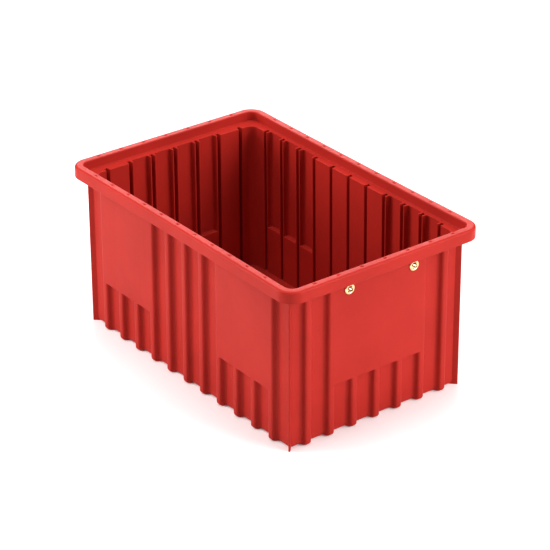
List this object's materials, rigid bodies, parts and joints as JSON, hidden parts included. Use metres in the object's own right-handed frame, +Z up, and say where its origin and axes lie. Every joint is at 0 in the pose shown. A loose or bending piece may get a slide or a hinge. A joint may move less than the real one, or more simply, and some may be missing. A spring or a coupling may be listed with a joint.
{
  "type": "hanging parts bin",
  "caption": "Red corrugated polypropylene bin with an overhanging hollow rim, slotted inner walls, flat label panels and brass hanging eyelets through one end.",
  "frame": {"origin": "middle of the underside, on the plane the bin stands on", "axes": "+Z up, long axis along Y, width along X, and the end with the eyelets faces -Y"},
  "size_m": [0.271, 0.419, 0.203],
  "materials": {
    "red_polypropylene": "satin moulded",
    "brass": "bright, lightly brushed"
  },
  "bodies": {
    "root": {"bin_body": "red_polypropylene", "eyelet_left": "brass", "eyelet_right": "brass", "eyelet_washer_left": "brass", "eyelet_washer_right": "brass"}
  },
  "joints": []
}
